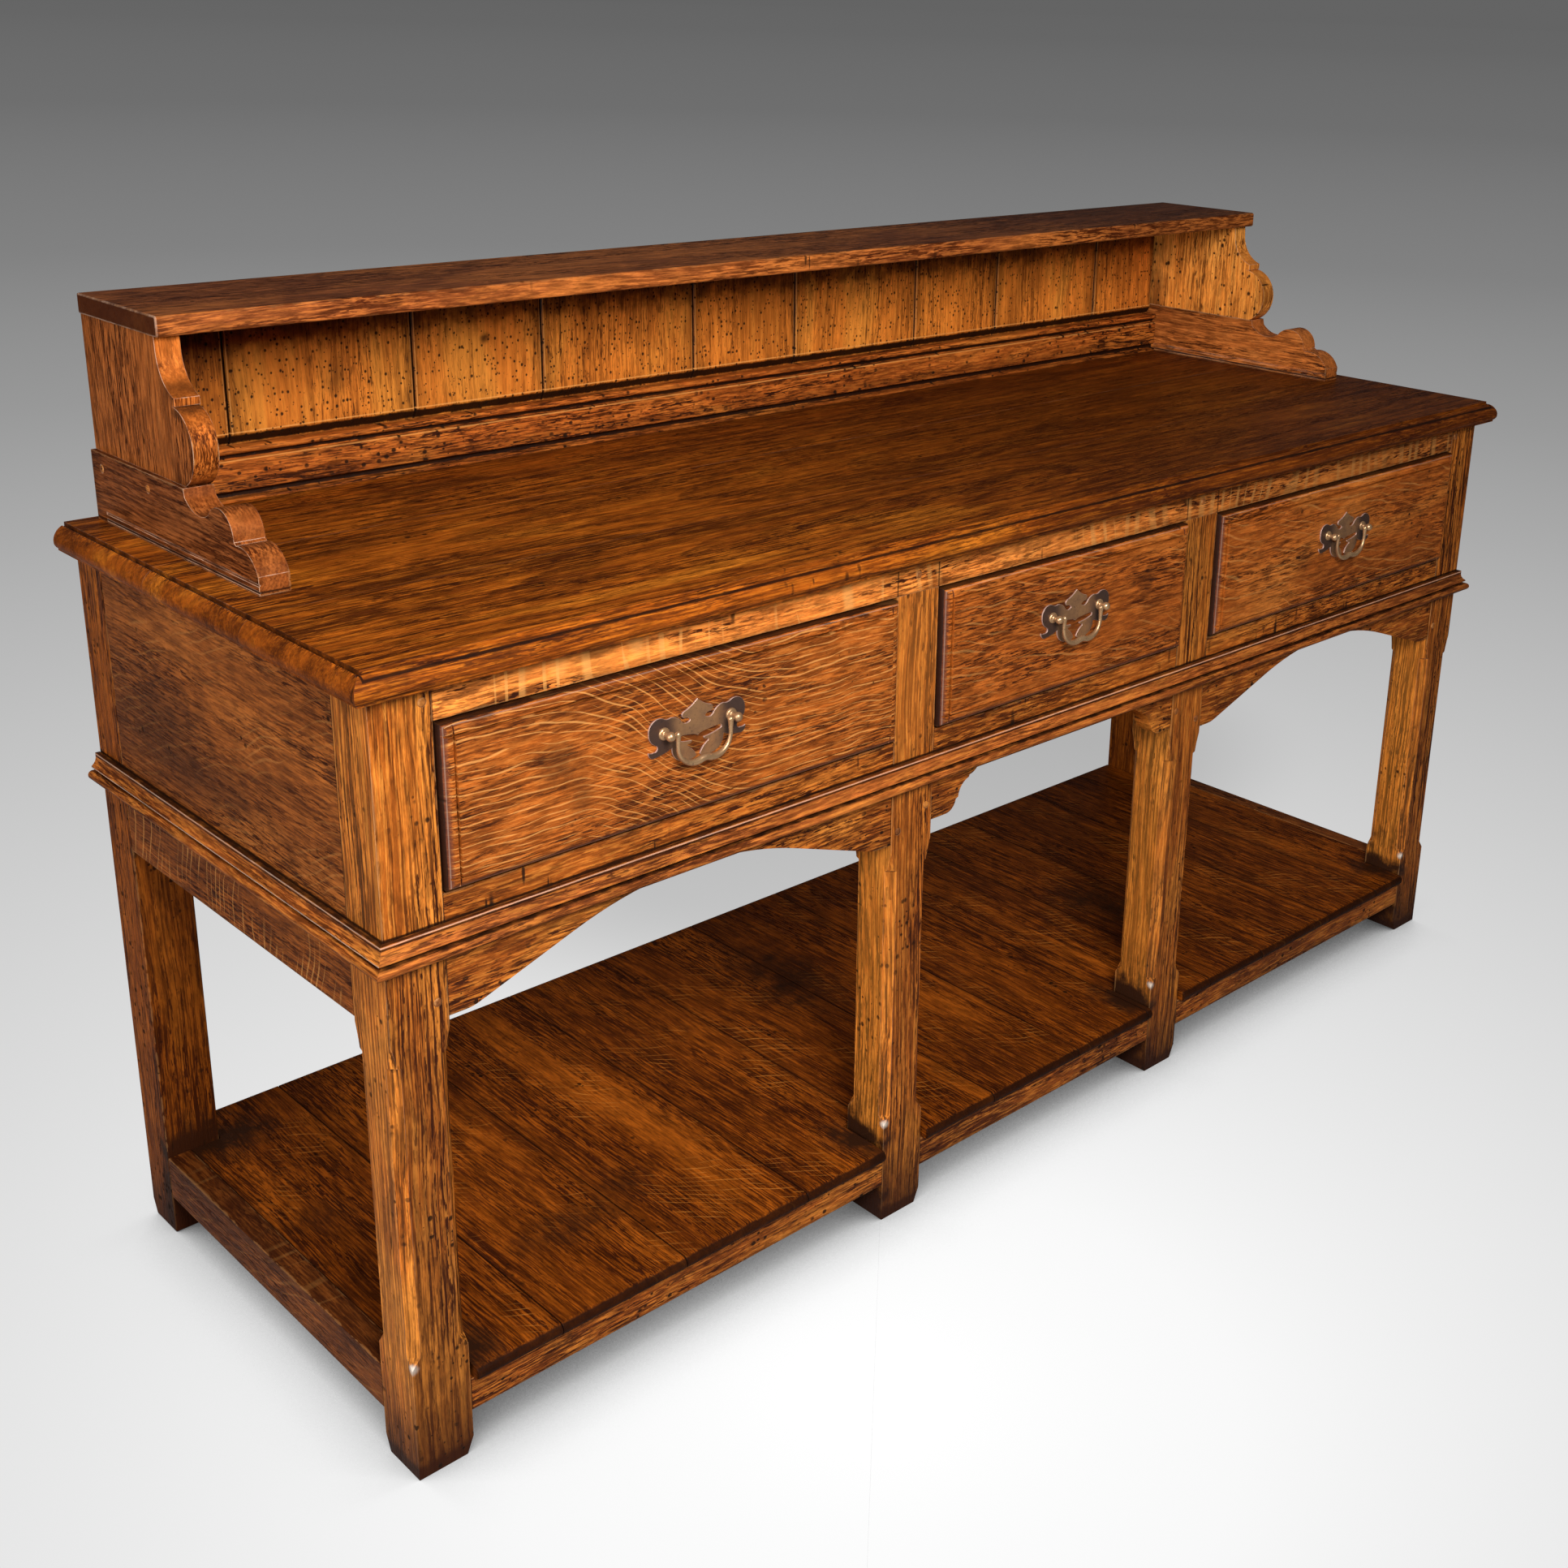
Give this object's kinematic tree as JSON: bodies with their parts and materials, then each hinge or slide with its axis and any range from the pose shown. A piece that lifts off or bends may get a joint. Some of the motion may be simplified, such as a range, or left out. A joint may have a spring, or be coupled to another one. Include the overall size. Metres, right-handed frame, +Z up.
{
  "type": "dresser base",
  "caption": "Oak potboard dresser base: drawers with brass swan-neck handles over shaped aprons, chamfered legs and an open potboard, with a low shelf gallery on the moulded top.",
  "frame": {"origin": "On the floor under the middle of the whole object's box.", "axes": "+X along the front to the right as seen from the front, +Y from the drawers to the back, +Z up."},
  "size_m": [1.71, 0.5741, 0.996],
  "materials": {
    "oak_top": "waxed, worn",
    "oak_case": "waxed, distressed",
    "oak_moulding": "waxed",
    "oak_potboard": "waxed, stained",
    "oak_gallery": "waxed, distressed",
    "oak_inner": "unpolished",
    "oak_drawer": "waxed, figured",
    "brass": "aged"
  },
  "bodies": {
    "carcase": {"top_plank_front": "oak_top", "top_plank_middle": "oak_top", "top_plank_rear": "oak_top", "leg_front_left": "oak_case", "leg_front_inner_left": "oak_case", "leg_front_inner_right": "oak_case", "leg_front_right": "oak_case", "leg_rear_left": "oak_case", "leg_rear_right": "oak_case", "front_top_rail": "oak_case", "drawer_rails": "oak_case", "apron_left": "oak_case", "apron_centre": "oak_case", "apron_right": "oak_case", "side_panel_left": "oak_case", "side_panel_right": "oak_case", "side_apron_left": "oak_case", "side_apron_right": "oak_case", "joint_pegs": "oak_case", "waist_moulding_front": "oak_moulding", "waist_moulding_left": "oak_moulding", "waist_moulding_right": "oak_moulding", "potboard_planks": "oak_potboard", "potboard_front_rails": "oak_potboard", "potboard_side_rails": "oak_potboard", "potboard_rear_rail": "oak_potboard", "gallery_shelf": "oak_gallery", "gallery_upright_left": "oak_gallery", "gallery_upright_right": "oak_gallery", "gallery_base_left": "oak_gallery", "gallery_base_right": "oak_gallery", "gallery_back_rail": "oak_gallery", "gallery_back_boards": "oak_gallery", "back_top_rail": "oak_inner", "back_bottom_rail": "oak_inner", "back_boards": "oak_inner", "drawer_runners": "oak_inner", "drawer_kickers": "oak_inner", "drawer_stops": "oak_inner"},
    "drawer_left": {"drawer_front_left": "oak_drawer", "drawer_sides_left": "oak_inner", "drawer_back_left": "oak_inner", "drawer_bottom_left": "oak_inner", "handle_plate_left": "brass", "handle_posts_left": "brass"},
    "bail_left": {"handle_bail_left": "brass"},
    "drawer_centre": {"drawer_front_centre": "oak_drawer", "drawer_sides_centre": "oak_inner", "drawer_back_centre": "oak_inner", "drawer_bottom_centre": "oak_inner", "handle_plate_centre": "brass", "handle_posts_centre": "brass"},
    "bail_centre": {"handle_bail_centre": "brass"},
    "drawer_right": {"drawer_front_right": "oak_drawer", "drawer_sides_right": "oak_inner", "drawer_back_right": "oak_inner", "drawer_bottom_right": "oak_inner", "handle_plate_right": "brass", "handle_posts_right": "brass"},
    "bail_right": {"handle_bail_right": "brass"}
  },
  "joints": [
    {"name": "drawer_left_slide", "type": "slide", "parent": "carcase", "child": "drawer_left", "axis": [0, -1, 0], "range_m": [0, 0.3]},
    {"name": "bail_left_hinge", "type": "hinge", "parent": "drawer_left", "child": "bail_left", "pos_m": [-0.5185, -0.28245, 0.656], "axis": [-1, 0, 0], "range_deg": [0, 90]},
    {"name": "drawer_centre_slide", "type": "slide", "parent": "carcase", "child": "drawer_centre", "axis": [0, -1, 0], "range_m": [0, 0.3]},
    {"name": "bail_centre_hinge", "type": "hinge", "parent": "drawer_centre", "child": "bail_centre", "pos_m": [0, -0.28245, 0.656], "axis": [-1, 0, 0], "range_deg": [0, 90]},
    {"name": "drawer_right_slide", "type": "slide", "parent": "carcase", "child": "drawer_right", "axis": [0, -1, 0], "range_m": [0, 0.3]},
    {"name": "bail_right_hinge", "type": "hinge", "parent": "drawer_right", "child": "bail_right", "pos_m": [0.5185, -0.28245, 0.656], "axis": [-1, 0, 0], "range_deg": [0, 90]}
  ]
}
